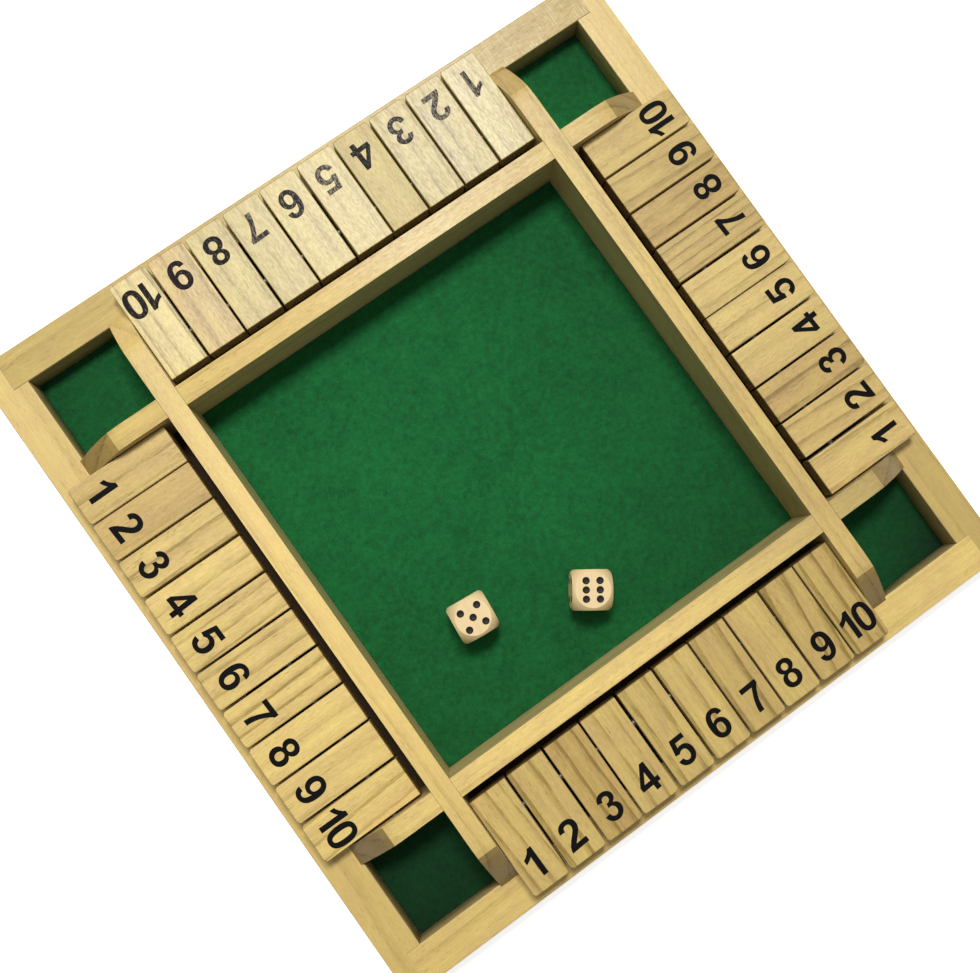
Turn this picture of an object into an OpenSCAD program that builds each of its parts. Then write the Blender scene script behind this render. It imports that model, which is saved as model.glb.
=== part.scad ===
// Four-player shut the box game in pale wood. A square board has an outer frame of four rails,
// a base and four dividers that cross like an egg crate. They leave a central well for the
// dice and a small compartment in each corner, lined with felt, and a trough along each side. Each trough holds a row
// of ten numbered tiles that turn on a steel rod and lie on the outer rail.
// +Z is up, and the origin is the middle of the underside. Lengths are in millimetres.

/* [Tiles] */
// Tiles in each row
tile_count = 10; // [4:1:10]
// Length of a tile, from the divider towards the edge of the board
tile_length = 44.5; // [36:0.5:52]
// Width of a tile along its rod
tile_width = 16.7; // [14:0.1:20]
// Thickness of a tile
tile_thickness = 7.5; // [6:0.25:9]
// Radius of the two corners at a tile's numbered end
tile_corner = 1.6; // [0.5:0.1:3]
// Total free play of the tiles along their rod
row_play = 9.4; // [5:0.2:16]
// Smallest gap beside any tile
tile_gap = 0.3; // [0.2:0.05:0.4]

/* [Rods] */
// Diameter of the steel rods
rod_diameter = 3; // [2:0.1:4]
// Distance from a tile's inner end to the middle of its rod
rod_from_end = 13.4; // [9:0.1:14]
// Radial clearance of a tile's bore on its rod
bore_clearance = 0.06; // [0.02:0.01:0.1]
// Depth of a rod's end in its divider
rod_seat = 6; // [3:0.5:7]
// Radial clearance of a rod in its divider, and behind its end
rod_seat_clearance = 0.05; // [0.02:0.01:0.1]

/* [Outer frame] */
// Width of an outer rail, seen from above
rail_width = 15; // [12:0.5:20]
// Height of an outer rail
rail_height = 15.5; // [14:0.5:20]
// Strip of rail left bare outside the tiles
rail_margin = 4.5; // [3:0.5:8]
// How far the ends of the north and south rails are let into the other two
corner_rabbet = 6.5; // [4:0.5:9]

/* [Base] */
// Thickness of the base panel
base_thickness = 3; // [2:0.5:5]
// How far the base panel is let into the rails
base_rabbet = 6; // [3:0.5:9]
// Thickness of the felt
felt_thickness = 1; // [0.5:0.1:2]
// Gap around the edge of the base panel and of each piece of felt
panel_clearance = 0.1; // [0:0.05:0.4]

/* [Dividers] */
// Width of the north and south dividers
cross_divider_width = 8.5; // [7.5:0.5:12]
// Width of the east and west dividers
long_divider_width = 8.5; // [7.5:0.5:12]
// Height of the dividers above the felt
divider_height = 24; // [21:0.5:30]
// Gap between the east and west dividers and their tiles
divider_gap = 4.3; // [2.5:0.1:8]
// How far the ends of the dividers are let into the rails
divider_housing = 1.2; // [0.5:0.1:3]
// Gap on each side of a divider where it crosses another or enters a rail
joint_clearance = 0.1; // [0:0.05:0.2]
// Length of the rounded slope at each end of a divider, measured from the rail
slope_length = 15.5; // [12:0.5:18]
// Radius of the rounded slope
slope_radius = 50; // [40:1:80]
// Length of the gentle roll-off just before the slope
ease_length = 7.5; // [4:0.5:9]
// How far the roll-off drops below the divider's top
ease_drop = 0.7; // [0.5:0.1:1]

/* [Dice] */
// Distance between opposite faces of a die
die_size = 16.5; // [14:0.5:18]
// Diameter of the sphere that rounds off a die's corners
die_round = 22; // [21.5:0.1:23]
// Diameter of a pip
pip_diameter = 3; // [2:0.1:3.4]
// Depth of a pip
pip_depth = 0.5; // [0.3:0.1:0.8]
// Distance of a corner pip's middle from the middle of the face, each way
pip_spread = 3.7; // [3:0.1:4]
// The same distance for the pips of a six, across its two columns
six_spread = 2.8; // [2.5:0.1:3.5]
// Place of the die that shows five, on the felt
die_west_place = [-45.2, -43.5];
// Angle of the die that shows five
die_west_turn = -5.5; // [-45:0.5:45]
// Place of the die that shows six, on the felt
die_east_place = [0.1, -62.4];
// Angle of the die that shows six
die_east_turn = -34.5; // [-45:0.5:45]

/* [Hidden] */
SIDES = ["south", "east", "north", "west"];
// The corner compartments, with the way to each from the middle of the board
CORNERS = [
    ["south_west", [-1, -1]], ["south_east", [1, -1]], ["north_east", [1, 1]], ["north_west", [-1, 1]],
];
FIXED_NODES = [
    "base_panel", "felt_well",
    "felt_south_west", "felt_south_east", "felt_north_east", "felt_north_west",
    "rail_south", "rail_east", "rail_north", "rail_west",
    "divider_south", "divider_east", "divider_north", "divider_west",
    "rod_south", "rod_east", "rod_north", "rod_west",
];
DICE_NODES = ["die_west", "die_east"];
function tile_node(side, number) = str("tile_", SIDES[side], "_", number < 10 ? "0" : "", number);

$fn = 64;
overcut = 1;

// How the free play of each row is shared among the gaps beside its tiles, from number one on.
// The rows are south, east, north and west.
PLAY_SHARES = [
    [0, 13, 13, 9, 18, 13, 8, 9, 11, 6, 0],
    [7, 20, 9, 9, 11, 1, 14, 10, 10, 9, 0],
    [0, 12, 9, 11, 9, 16, 10, 13, 9, 11, 0],
    [0, 3, 8, 11, 11, 10, 12, 9, 11, 13, 13],
];
// How much further out than the others each row lies: the east rod is drilled off its line
ROW_SHIFTS = [0, 0.6, 0, -0.2];

// Angle between a divider's flat top and the start of its roll-off
ease_crease = 1.5;

// Distances from the middle of the board, seen from above
well_half = (tile_count * tile_width + row_play) / 2;
row_inner = well_half + long_divider_width + divider_gap;
board_half = row_inner + tile_length + rail_margin;
frame_half = board_half - rail_width;
housed_half = frame_half + divider_housing;

// Heights above the underside
felt_top = base_thickness + felt_thickness;
divider_top = felt_top + divider_height;
lap_height = (base_thickness + divider_top) / 2;
rod_height = rail_height + tile_thickness / 2;

function rod_distance(side) = row_inner + ROW_SHIFTS[side] + rod_from_end;
function shares_before(side, tile) = [for (i = [0:tile]) PLAY_SHARES[side][i]];
function total(list, i = 0) = i < len(list) ? list[i] + total(list, i + 1) : 0;
// Left edge of a tile, counted from 0, along its row
function tile_left(side, tile) =
    let (spread = row_play - (tile_count + 1) * tile_gap,
         share = total(shares_before(side, tile)) / total(shares_before(side, tile_count)))
    -well_half + (tile + 1) * tile_gap + spread * share + tile * tile_width;

pine = "#dcc48c";
tile_pine = "#e2cc96";
plywood = "#cfb27c";
green_felt = "#1d5c2c";
steel = "#b9bcc0";
die_wood = "#ecd5a0";
pip_black = "#1a1513";

// Turns a shape made for the south side to another side
module at_side(side) {
    rotate([0, 0, 90 * side]) children();
}

// A block that spans x and y symmetrically, from low to high
module block(x, y, low, high) {
    translate([-x / 2, -y / 2, low]) cube([x, y, high - low]);
}

module panel(half, low, high) {
    block(2 * half, 2 * half, low, high);
}

module base_panel() {
    color(plywood) panel(frame_half + base_rabbet - panel_clearance, 0, base_thickness);
}

// A piece of felt in a space between two corners seen from above
module felt_piece(low, high) {
    color(green_felt)
        translate([low.x + panel_clearance, low.y + panel_clearance, base_thickness])
            cube([high.x - low.x - 2 * panel_clearance, high.y - low.y - 2 * panel_clearance,
                  felt_thickness]);
}

module felt_well() {
    felt_piece([-well_half, -well_half], [well_half, well_half]);
}

// The felt of the compartment that lies the given way from the middle of the board
module felt_corner(way) {
    near = [way.x * (well_half + long_divider_width), way.y * (well_half + cross_divider_width)];
    far = way * frame_half;
    felt_piece([min(near.x, far.x), min(near.y, far.y)], [max(near.x, far.x), max(near.y, far.y)]);
}

// The housings that all the divider ends take out of the rails
module divider_housings() {
    for (along = [0, 90])
        for (way = [-1, 1]) {
            width = along == 0 ? cross_divider_width : long_divider_width;
            rotate([0, 0, along])
                translate([0, way * (well_half + width / 2), 0])
                    block(2 * housed_half, width + 2 * joint_clearance,
                          base_thickness - overcut, rail_height + overcut);
        }
}

// What is taken out of every rail: the rabbet for the base and the housings
module rail_cuts() {
    panel(frame_half + base_rabbet, -overcut, base_thickness);
    divider_housings();
}

// North and south rails, drawn on the south side
module short_rail() {
    translate([0, -(board_half + frame_half) / 2, 0])
        block(2 * (frame_half + corner_rabbet), rail_width, 0, rail_height);
}

// East and west rails, drawn on the south side. Their ends are rabbeted for the other two
module long_rail() {
    difference() {
        translate([0, -(board_half + frame_half) / 2, 0])
            block(2 * board_half, rail_width, 0, rail_height);
        for (way = [-1, 1])
            translate([way * (frame_half + overcut + rail_width / 2), -frame_half, 0])
                block(rail_width + 2 * overcut, 2 * corner_rabbet, -overcut, rail_height + overcut);
    }
}

module rail(side) {
    color(pine)
        difference() {
            at_side(side) if (side % 2 == 0) short_rail(); else long_rail();
            rail_cuts();
        }
}

// Middle of the circle through points a and b, on the lower side of the line between them
function arc_centre(a, b, radius) =
    let (half = (b - a) / 2, sag = sqrt(radius * radius - half * half))
    a + half + sag * [half.y, -half.x] / norm(half);

// Everything above a lying round bar, from x = start to beyond the end of a divider
module above_arc(start, centre, radius, width) {
    low = rail_height - overcut;
    difference() {
        translate([start - overcut, -width / 2 - overcut, low])
            cube([housed_half + 2 * overcut - start, width + 2 * overcut, divider_top + overcut - low]);
        translate([centre.x, width / 2 + 2 * overcut, centre.y])
            rotate([90, 0, 0]) cylinder(h = width + 4 * overcut, r = radius, $fn = 180);
    }
}

// What rounds off the end of a divider: a gentle roll-off, then the slope down to the rail
module end_rounding(width) {
    ease_start = [frame_half - slope_length - ease_length, divider_top];
    slope_start = ease_start + [ease_length, -ease_drop];
    slope_end = [housed_half, rail_height];
    half_turn = atan(ease_drop / ease_length) - ease_crease;
    ease_radius = norm(slope_start - ease_start) / 2 / sin(half_turn);
    above_arc(ease_start.x, arc_centre(ease_start, slope_start, ease_radius), ease_radius, width);
    above_arc(slope_start.x, arc_centre(slope_start, slope_end, slope_radius), slope_radius, width);
}

// A whole divider along x, before its laps and rod holes are cut
module divider_blank(width) {
    difference() {
        block(2 * housed_half, width, base_thickness, divider_top);
        for (end = [0, 180]) rotate([0, 0, end]) end_rounding(width);
    }
}

// The notches where a divider crosses the other two, which are crossing_width wide
module lap_notches(width, crossing_width, low, high) {
    for (way = [-1, 1])
        translate([way * (well_half + crossing_width / 2), 0, 0])
            block(crossing_width + 2 * joint_clearance, width + 2 * overcut, low, high);
}

// A round bar along x between two distances from the middle of the board
module rod_bar(radius, half_length, distance) {
    translate([-half_length, -distance, rod_height])
        rotate([0, 90, 0]) cylinder(h = 2 * half_length, r = radius);
}

// The holes that a divider has for the rods of the two rows that end at it
module rod_holes(side) {
    for (row = [side + 1, side + 3])
        at_side(row % 4)
            rod_bar(rod_diameter / 2 + rod_seat_clearance, well_half + rod_seat + rod_seat_clearance,
                    rod_distance(row % 4));
}

// North and south dividers pass under the others, so their laps are cut from above
module divider(side) {
    crossing = side % 2 == 0;
    width = crossing ? cross_divider_width : long_divider_width;
    color(pine)
        difference() {
            at_side(side)
                translate([0, -well_half - width / 2, 0])
                    difference() {
                        divider_blank(width);
                        if (crossing)
                            lap_notches(width, long_divider_width, lap_height, divider_top + overcut);
                        else
                            lap_notches(width, cross_divider_width, base_thickness - overcut, lap_height);
                    }
            rod_holes(side);
        }
}

module rod(side) {
    color(steel) at_side(side) rod_bar(rod_diameter / 2, well_half + rod_seat, rod_distance(side));
}

// Outline of a tile with its inner end on y = 0 and its rounded end towards -y
module tile_outline() {
    translate([0, tile_corner - tile_length]) square([tile_width, tile_length - tile_corner]);
    translate([tile_corner, -tile_length]) square([tile_width - 2 * tile_corner, tile_length]);
    for (x = [tile_corner, tile_width - tile_corner])
        translate([x, tile_corner - tile_length]) circle(r = tile_corner);
}

module tile(side, tile) {
    color(tile_pine)
        at_side(side)
            difference() {
                translate([tile_left(side, tile), -row_inner - ROW_SHIFTS[side], rail_height])
                    linear_extrude(tile_thickness) tile_outline();
                rod_bar(rod_diameter / 2 + bore_clearance, well_half + overcut, rod_distance(side));
            }
}

// Pips of one face as places in the plane of that face
function pips(value) =
    let (s = pip_spread,
         middle = value % 2 == 1 ? [[0, 0]] : [],
         pair = value > 1 && value < 6 ? [[-s, -s], [s, s]] : [],
         other_pair = value > 3 && value < 6 ? [[-s, s], [s, -s]] : [],
         six = value == 6 ? [for (x = [-six_spread, six_spread], y = [-s, 0, s]) [x, y]] : [])
    concat(middle, pair, other_pair, six);

// Shallow round dents for one face of a die that is centred on the origin and faces up
module pip_dents(value) {
    radius = (pip_diameter * pip_diameter / 4 + pip_depth * pip_depth) / (2 * pip_depth);
    color(pip_black)
        for (place = pips(value))
            translate([place.x, place.y, die_size / 2 + radius - pip_depth]) sphere(r = radius);
}

// A die with opposite faces that add up to seven
module die(top, front, right, place, turn) {
    faces = [
        [top, [0, 0, 0]], [7 - top, [180, 0, 0]],
        [front, [90, 0, 0]], [7 - front, [-90, 0, 0]],
        [right, [0, 90, 0]], [7 - right, [0, -90, 0]],
    ];
    color(die_wood)
        translate([place.x, place.y, felt_top + die_size / 2])
            rotate([0, 0, turn])
                difference() {
                    intersection() {
                        cube(die_size, center = true);
                        sphere(d = die_round, $fn = 96);
                    }
                    for (face = faces) rotate(face[1]) pip_dents(face[0]);
                }
}

base_panel();
felt_well();
for (corner = CORNERS)
    felt_corner(corner[1]);
for (side = [0:3]) {
    rail(side);
    divider(side);
    rod(side);
    for (number = [1:tile_count])
        tile(side, number - 1);
}
die(5, 4, 1, die_west_place, die_west_turn);  // die_west
die(6, 5, 3, die_east_place, die_east_turn);  // die_east
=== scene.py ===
# Four-player shut the box game: the fine shape and the finish of each piece around its frame.
import math
import random

import bmesh
import bpy
from mathutils import Matrix, Vector, noise


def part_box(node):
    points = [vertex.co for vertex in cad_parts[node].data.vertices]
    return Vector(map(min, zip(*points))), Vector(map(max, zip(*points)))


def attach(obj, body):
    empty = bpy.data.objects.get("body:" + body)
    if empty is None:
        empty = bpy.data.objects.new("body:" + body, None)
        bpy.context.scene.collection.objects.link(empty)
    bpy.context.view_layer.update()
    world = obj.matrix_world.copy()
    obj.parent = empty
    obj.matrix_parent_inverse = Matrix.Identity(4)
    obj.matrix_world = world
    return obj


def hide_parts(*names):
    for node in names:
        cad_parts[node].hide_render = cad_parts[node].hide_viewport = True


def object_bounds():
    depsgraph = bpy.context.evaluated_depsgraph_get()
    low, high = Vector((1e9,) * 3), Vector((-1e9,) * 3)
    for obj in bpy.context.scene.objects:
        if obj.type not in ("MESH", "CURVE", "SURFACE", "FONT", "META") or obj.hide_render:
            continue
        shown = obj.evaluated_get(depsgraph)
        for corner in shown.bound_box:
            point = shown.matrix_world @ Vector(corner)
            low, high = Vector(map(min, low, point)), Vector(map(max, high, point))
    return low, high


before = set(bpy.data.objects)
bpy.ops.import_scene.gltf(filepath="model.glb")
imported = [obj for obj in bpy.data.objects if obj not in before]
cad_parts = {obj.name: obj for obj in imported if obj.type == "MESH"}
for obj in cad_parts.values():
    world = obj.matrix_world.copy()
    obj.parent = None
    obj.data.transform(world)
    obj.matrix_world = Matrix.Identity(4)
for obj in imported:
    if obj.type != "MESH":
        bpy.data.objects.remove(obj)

CAD_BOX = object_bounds()
MM = 0.001
SIDES = ("south", "east", "north", "west")
TILES_PER_SIDE = 10

# Felt: the size of its mesh's cells, the height of its waves and their number to a metre
FELT_CELL = 2 * MM
FELT_UNEVENNESS = 0.04 * MM
FELT_WAVES = 90
# The felt is painted lightest around this place, and darker with the square of the distance from
# it: a painted pool of light
FELT_LIT = (-28 * MM, 22 * MM, 0)
FELT_FADING = 18
# Painted lightness of each piece of felt, for the light and shade that falls on it
FELT_PAINTED_LIGHT = {
    "felt_well": 1.03, "felt_south_west": 0.54, "felt_south_east": 1.63, "felt_north_east": 1.85,
    "felt_north_west": 0.98,
}

# Base: its upper face, above this height, is painted dark brown, for the deep shade in the troughs under the
# tiles
PAINTED_SHADE_HEIGHT = 2.9 * MM

# Camera: where it stands, the point on the felt that its axis meets, the direction in the plan
# that is to its right, and the framing of the picture
CAMERA_PLACE = Vector((-45.6, -28.36, 439.67)) * MM
CAMERA_AIM = Vector((-4.1, -16.07, 4.0)) * MM
CAMERA_RIGHT_ANGLE = math.radians(-35.42)
SENSOR_WIDTH = 36.0
LENS = 38.72
FRAME_SHIFT = (-0.0255, 0.0183)

# Floor: its mesh reaches this far, and lies a little below the board
FLOOR_REACH = 4
FLOOR_BELOW = 0.05 * MM

# Eased edges, where hands touch a piece and where the boards of the frame meet
SHARP_ANGLE = math.radians(30)
EXPOSED_EASE = 0.45 * MM
JOINT_EASE = 0.12 * MM
EASE_STEPS = 3
# A divider's long edges are eased where they lie this far above the rails, and the edges of its
# laps where they lie this near to its top
ABOVE_RAILS = 0.7 * MM
NEAR_TOP = 0.1 * MM
# Cosine of the angle between an edge and a direction that it runs along, or across
ALONG = 0.9
ACROSS = 0.1
UP = Vector((0, 0, 1))

# Faces that meet at a smaller angle are one flat face, or are shaded as one smooth face
FLAT_ANGLE = math.radians(1)
SMOOTH_ANGLE = math.radians(50)
TOUCHING = 0.01 * MM
MERGED = 0.001 * MM
# The place of ink or paint among a piece's materials
PAINTED = 1

# Printed numbers
DIGIT_HEIGHT = 12.2 * MM
DIGIT_FROM_END = 11.35 * MM
INK_THICKNESS = 0.06 * MM
INK_ABOVE = 0.03 * MM
PRINT_SCATTER = 0.08 * MM
# How the print of each number lies on its tile, the same on every side: to the right and towards
# the end in mm, and turned to the left in degrees
PRINT_PLACES = (
    (-0.45, 0.3, 0.8), (-0.45, 0.1, 3.2), (0.15, 0.0, 0.2), (0.3, 0.05, 3.0), (0.25, -0.45, 1.9),
    (0.1, -0.65, -0.8), (0.8, -0.1, 2.3), (0.25, 0.1, 1.7), (0.3, -0.2, -0.6), (-0.15, -0.1, 0.0),
)
# Each digit is drawn 100 units tall and stands on y = 0, in M, L, H, V, Q and Z steps
DIGITS = {
    "0": "M38 100 Q53 100 61 89.5 Q70.5 77 70.5 49 Q70.5 21 61 8.5 Q53 -2 38 -2 Q23 -2 15 8.5"
         " Q5.5 21 5.5 49 Q5.5 77 15 89.5 Q23 100 38 100 Z"
         " M38 84 Q45 84 48 76 Q51 67 51 49 Q51 31 48 22 Q45 14 38 14 Q31 14 28 22"
         " Q25 31 25 49 Q25 67 28 76 Q31 84 38 84 Z",
    "1": "M55 0 H36 V72 Q25 62 11 57.5 V75 Q19 77 27 84 Q36 91 39.5 100 H55 Z",
    "2": "M70 18 V0 H3 Q4 10 9.5 19 Q15 28 31 43 Q44 55 47 59.5 Q51 65 51 71 Q51 77 47.5 80.5"
         " Q44 84 38 84 Q32 84 28.5 80.5 Q25 77 24.5 68.5 L5.5 70.5 Q7 86 16 93 Q25 100 39 100"
         " Q54 100 62.5 92 Q71 84 71 72 Q71 65 68.5 59 Q66 53 61 46.5 Q57 42 48 33.5"
         " Q39 25 36.5 22.5 Q34 20 32 18 Z",
    "3": "M5 26.5 L23.5 29 Q24.5 22 28.5 18 Q32.5 14 38 14 Q44 14 48 18.5 Q52 23 52 31"
         " Q52 38 48 42 Q44 46.5 38.5 46.5 Q35 46.5 30 45 L32 60.5 Q39.5 60.5 43.5 64"
         " Q48 67.5 48 73.5 Q48 78.5 45 81.5 Q42 84.5 37 84.5 Q32 84.5 28.5 81 Q25 77.5 24.5 71"
         " L6.5 74 Q8.5 83 12 88.5 Q16 94 22.5 97 Q29 100 37.5 100 Q51 100 59.5 91"
         " Q66.5 84 66.5 75 Q66.5 62 52.5 54 Q61 52 66 46 Q71 39.5 71 30.5 Q71 17.5 61.5 8"
         " Q52 -2 38 -2 Q25 -2 16 6 Q7 13.5 5 26.5 Z",
    "4": "M43.5 0 V20 H2.5 V37 L46 100 H62 V37 H74 V20 H62 V0 Z M43.5 37 V71 L20.5 37 Z",
    "5": "M6 25.5 L25 27.5 Q26 21 30 17.5 Q34 13.5 39.5 13.5 Q45 13.5 49.5 18.5 Q53.5 23 53.5 33"
         " Q53.5 42 49.5 47 Q45.5 51.5 38.5 51.5 Q30.5 51.5 24 44 L8.5 46.5 L18.5 98 H69 V80.5 H32.5"
         " L30 63.5 Q36 66.5 43 66.5 Q55.5 66.5 64.5 57.5 Q73 48 73 33.5 Q73 21 66 11.5"
         " Q56.5 -2 39 -2 Q25.5 -2 16.5 5.5 Q8 13 6 25.5 Z",
    "6": "M70.5 75 L52 73 Q51.5 79 48.5 81.5 Q45.5 84.5 41 84.5 Q35 84.5 31 79 Q27 73.5 25.5 56.5"
         " Q32.5 64.5 43.5 64.5 Q55.5 64.5 64 55.5 Q72.5 46.5 72.5 32 Q72.5 17 63.5 7.5"
         " Q54.5 -2 40.5 -2 Q25.5 -2 15.5 10 Q6 21.5 6 48.5 Q6 76 16 88 Q26 100 42.5 100"
         " Q53.5 100 61 93.5 Q68.5 87.5 70.5 75 Z"
         " M27.5 33.5 Q27.5 24 31.5 19 Q36 14 41.5 14 Q46.5 14 50 18.5 Q53.5 22.5 53.5 32"
         " Q53.5 41.5 50 46 Q46 50.5 40.5 50.5 Q35 50.5 31 46.5 Q27.5 42 27.5 33.5 Z",
    "7": "M6 80.5 V98 H71.5 V84 Q63 76 55 61.5 Q46.5 46.5 42 30 Q38 13 38 0 H19.5 Q20 19 27.5 39"
         " Q35 59 47.5 80.5 Z",
    "8": "M21.5 53.5 Q14.5 57 11 62.5 Q7.5 67.5 7.5 74.5 Q7.5 85.5 15.5 92.5 Q23 100 37.5 100"
         " Q51.5 100 59.5 92.5 Q67.5 85.5 67.5 74.5 Q67.5 67.5 63.5 62 Q60 56.5 53.5 53.5"
         " Q62 50.5 66 44 Q70.5 37.5 70.5 29 Q70.5 15.5 61.5 7 Q53 -2 38 -2 Q24.5 -2 15.5 5.5"
         " Q5 13.5 5 28.5 Q5 36.5 9 43 Q13 50 21.5 53.5 Z"
         " M25.5 73 Q25.5 67 29 64 Q32 61 37.5 61 Q43 61 46 64 Q49.5 67 49.5 73 Q49.5 78.5 46 81.5"
         " Q43 85 37.5 85 Q32 85 29 81.5 Q25.5 78.5 25.5 73 Z"
         " M24 30 Q24 22.5 28 18 Q32 14 38 14 Q44 14 48 18 Q51.5 22.5 51.5 30.5 Q51.5 37.5 47.5 41.5"
         " Q44 46 38 46 Q31 46 27.5 41 Q24 36 24 30 Z",
}
# In the same units: the height of a digit, the width that it takes up, the point around which the
# 6 is turned into a 9, how far to the right the 0 of 10 stands, and how close points are to merge
DIGIT_UNITS = 100
DIGIT_SPACE = 77
NINE_CENTRE = (38.2, 49)
TEN_ZERO_SHIFT = 57
DIGIT_MERGED = 0.01
CURVE_STEPS = 6

# Dice: how far each is turned to the left, in degrees, its faces on top, in front and on the right
# before that turn, and the ball to which its corners are cut back
DIE_TURNS = {"die_west": -5.5, "die_east": -34.5}
DIE_FACES = {"die_west": (5, 4, 1), "die_east": (6, 5, 3)}
DIE_ROUND = 22 * MM
DIE_EASE = 0.9 * MM
PIP_DIAMETER = 3 * MM
PIP_DEPTH = 0.5 * MM
PIP_SPREAD = 3.7 * MM
SIX_SPREAD = 2.8 * MM
# A pip is hollowed with the cap of a ball, cut off a little past the die's face
PIP_BALL = (PIP_DIAMETER ** 2 / 4 + PIP_DEPTH ** 2) / (2 * PIP_DEPTH)
CAP_DEPTH = 1.3 * PIP_DEPTH

# The wood that each tile was cut from, by its number: a kind of board, where its clearest growth
# line lies across the tile (0 left, 1 right, below 0 where the pith was on the right), how clear
# that line is, how far the next line is, and how much the lines slant to the right
TILE_CUTS = {
    "south": (
        ("straw", 0.55, 0.6, 0.38, 0.05), ("straw", 0.64, 0.9, 0.49, 0.0), ("brown", 0.40, 0.8, 0.46, 0.02),
        ("straw", 0.76, 0.5, 0.38, 0.0), ("straw", 0.20, 0.6, 0.65, 0.0), ("straw", 0.62, 0.5, 0.50, 0.0),
        ("tan", 0.78, 0.6, 0.55, -0.02), ("straw", 0.58, 0.2, 0.40, 0.03), ("tan", 0.60, 1.0, 0.50, -0.12),
        ("tan", 0.55, 1.0, 0.40, 0.0),
    ),
    "east": (
        ("straw", 0.90, 0.5, 0.75, -0.02), ("tan", 0.36, 0.5, 0.50, -0.05), ("brown", 0.67, 0.8, 0.50, 0.02),
        ("straw", 0.05, 0.2, 0.70, 0.0), ("pale", 0.55, 0.5, 0.50, 0.0), ("pale", 0.75, 0.4, 0.40, 0.0),
        ("tan", 0.62, 0.7, 0.24, 0.02), ("brown", 0.35, 0.4, 0.45, 0.05), ("tan", 0.75, 0.4, 0.45, -0.06),
        ("straw", 0.30, 0.2, 0.50, 0.0),
    ),
    "north": (
        ("green", 0.75, 0.4, 0.40, 0.0), ("olive", 0.92, 0.6, 0.25, 0.0), ("olive", 0.12, 0.5, 0.45, -0.03),
        ("dull", 0.95, 0.2, 0.60, 0.0), ("green", 0.65, 0.3, 0.40, 0.0), ("green", 0.85, 0.3, 0.50, 0.0),
        ("olive", 0.60, 0.3, 0.40, 0.0), ("olive", 0.60, 0.4, 0.50, 0.03), ("tan", -0.60, 0.6, 0.60, 0.0),
        ("green", 0.55, 0.6, 0.38, 0.0),
    ),
    "west": (
        ("tan", 0.93, 0.5, 0.45, 0.0), ("brown", 0.92, 0.2, 0.80, 0.0), ("straw", -0.38, 0.7, 0.50, 0.02),
        ("pale", 0.50, 0.5, 0.50, 0.0), ("straw", 0.60, 0.6, 0.36, 0.04), ("straw", 0.25, 0.5, 0.50, 0.0),
        ("pale", 0.68, 0.9, 0.34, 0.02), ("pale", 0.50, 0.2, 0.50, 0.0), ("pale", 0.38, 0.3, 0.60, 0.0),
        ("pale", 0.45, 0.5, 0.45, 0.06),
    ),
}
# How far the print of each number of the north row is worn, from 0 to 1; the same number greys its
# black, partly as worn-thin ink and partly as painted sheen
NORTH_WEAR_AND_SHEEN = (0.8, 0.9, 0.6, 0.3, 0.8, 0.5, 0.7, 0.3, 0.3, 0.3)
# Lightness, redness and gloss of each kind of board. Green, olive and dull, on the north row only, are
# partly painted sheen: their pale, little-red colour follows the light on that row
BOARDS = {
    "green": (1.10, 0.0, 1.0), "pale": (1.10, 0.5, 1.0), "olive": (1.0, 0.05, 1.0),
    "dull": (1.05, 0.1, 0.5), "straw": (1.02, 0.55, 1.0), "tan": (0.94, 0.67, 1.0),
    "brown": (0.85, 0.9, 1.0), "frame": (1.0, 0.55, 1.0),
}
# Lightness of the pieces of each side, at distances in metres from its middle, from number one on:
# partly the wood's own colour, partly painted light and shade that follow how the light falls
TILE_TONE_AND_LIGHT = {
    "south": ((-0.08, 1.03), (0.0, 0.99), (0.08, 1.0)),
    "east": ((-0.08, 1.12), (-0.05, 1.04), (0.0, 0.98), (0.08, 0.92)),
    "north": ((-0.08, 0.76), (-0.05, 0.86), (0.02, 0.85), (0.07, 1.0)),
    "west": ((-0.08, 1.0), (-0.03, 1.08), (-0.01, 1.13), (0.08, 1.13)),
}
DIVIDER_TONE_AND_LIGHT = {
    "south": ((-0.11, 1.18), (-0.08, 1.32), (0.03, 1.30), (0.08, 1.04), (0.11, 0.81)),
    "east": ((-0.1, 1.08), (-0.08, 0.99), (-0.02, 1.06), (0.03, 1.10), (0.1, 0.97)),
    "north": ((-0.1, 0.98), (-0.03, 0.97), (0.03, 1.15), (0.1, 1.07)),
    "west": ((-0.1, 1.09), (-0.06, 1.26), (0.06, 1.34), (0.11, 1.17)),
}
RAIL_TONE_AND_LIGHT = {
    "south": ((-0.12, 1.14), (0.12, 1.30)),
    "east": ((-0.1, 0.95), (0.1, 1.08)),
    "north": ((-0.12, 0.77), (0.12, 0.86)),
    "west": ((-0.1, 1.08), (0.1, 1.07)),
}
# Gloss of the pieces, at the same kind of distances
TILE_GLOSSES = {
    "south": ((0, 0.5),), "east": ((-0.06, 1.5), (0.0, 1.4), (0.05, 0.5)),
    "north": ((-0.08, 1.65), (-0.05, 1.0), (0.05, 1.1), (0.085, 1.8)),
    "west": ((-0.07, 0.7), (-0.02, 1.0)),
}
DIVIDER_GLOSSES = {
    "south": ((0, 1.3),), "east": ((0, 0.75),), "west": ((0, 1.0),),
    "north": ((-0.1, 0.7), (-0.05, 1.0), (-0.02, 1.0), (0.03, 0.15), (0.1, 0.0)),
}
RAIL_GLOSSES = {
    "south": ((-0.12, 0.5), (0.12, 1.3)), "east": ((-0.12, 0.5), (0.12, 1.5)),
    "north": ((-0.12, 1.15), (0.12, 0.1)), "west": ((-0.12, 0.9), (0.12, 0.5)),
}
# How much darker the cut ends of each divider are, at its first and its last end: partly darker end
# grain, partly painted shade, deepest on an end that faces away from the light
DIVIDER_ENDS = {
    "south": (0.73, 0.47), "east": (0.60, 0.22), "north": (0.49, 0.52), "west": (0.10, 0.68),
}
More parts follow.
